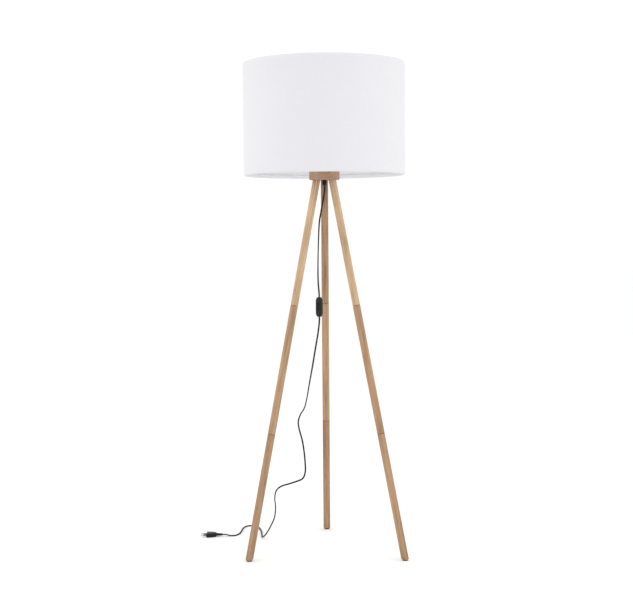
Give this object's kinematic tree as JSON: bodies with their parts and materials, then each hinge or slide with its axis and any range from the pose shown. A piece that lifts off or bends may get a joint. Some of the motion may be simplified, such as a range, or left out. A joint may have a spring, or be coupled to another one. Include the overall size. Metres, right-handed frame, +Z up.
{
  "type": "tripod floor lamp",
  "caption": "Floor lamp with a white drum shade on a turned wooden disc and splayed round wooden legs in screwed sections, with a corded rocker switch.",
  "frame": {"origin": "on the floor, on the lamp's upright axis, midway between the feet", "axes": "+Z up along the lamp's axis; +Y towards the rear leg, so the pictured front faces -Y"},
  "size_m": [0.666, 0.5694, 1.5171],
  "materials": {
    "beech_disc": "clear matt lacquer",
    "beech_leg": "clear matt lacquer",
    "brass": "bare",
    "zinc_steel": "zinc plated",
    "dark_glide": "matt",
    "black_moulding": "fine satin",
    "cord_sheath": "smooth pvc",
    "core_insulation": "smooth pvc",
    "pale_insulator": "matt",
    "white_wire": "gloss white",
    "white_fabric": "plain weave",
    "white_liner": "satin film",
    "nickel_pins": "nickel plated"
  },
  "bodies": {
    "stand": {"top_disc": "beech_disc", "disc_inserts": "brass", "disc_studs": "zinc_steel", "left_leg_upper": "beech_leg", "left_leg_middle": "beech_leg", "left_leg_lower": "beech_leg", "right_leg_upper": "beech_leg", "right_leg_middle": "beech_leg", "right_leg_lower": "beech_leg", "rear_leg_upper": "beech_leg", "rear_leg_middle": "beech_leg", "rear_leg_lower": "beech_leg", "high_joint_studs": "zinc_steel", "low_joint_studs": "zinc_steel", "high_joint_inserts": "brass", "low_joint_inserts": "brass", "foot_glides": "dark_glide", "threaded_tube": "zinc_steel", "tube_washer": "zinc_steel", "tube_nut": "zinc_steel", "cord_gland": "black_moulding", "gland_screw": "black_moulding", "inner_cord": "cord_sheath", "core_wires": "core_insulation", "holder_base": "black_moulding", "holder_sleeve": "black_moulding", "socket_insulator": "pale_insulator", "socket_shell": "brass", "centre_contact": "brass", "holder_terminals": "brass", "shade_ring": "black_moulding", "fitter_ring": "white_wire", "carrier_arms": "white_wire", "shade_skin": "white_fabric", "shade_liner": "white_liner", "bottom_wire": "white_wire", "top_wire": "white_wire", "bottom_hem": "white_fabric", "top_hem": "white_fabric", "cord_upper": "cord_sheath", "cord_lower": "cord_sheath", "switch_front": "black_moulding", "switch_back": "black_moulding", "switch_leaf": "brass", "switch_terminals": "brass", "switch_screws": "zinc_steel", "switch_cord_ends": "cord_sheath", "plug_body": "black_moulding", "plug_pins": "nickel_pins"},
    "rocker": {"switch_rocker": "black_moulding"}
  },
  "joints": [
    {"name": "rocker_tilt", "type": "hinge", "parent": "stand", "child": "rocker", "pos_m": [-0.0206, 0.02195, 0.765], "axis": [-0.788, 0.6157, 0], "range_deg": [0, 16]}
  ]
}
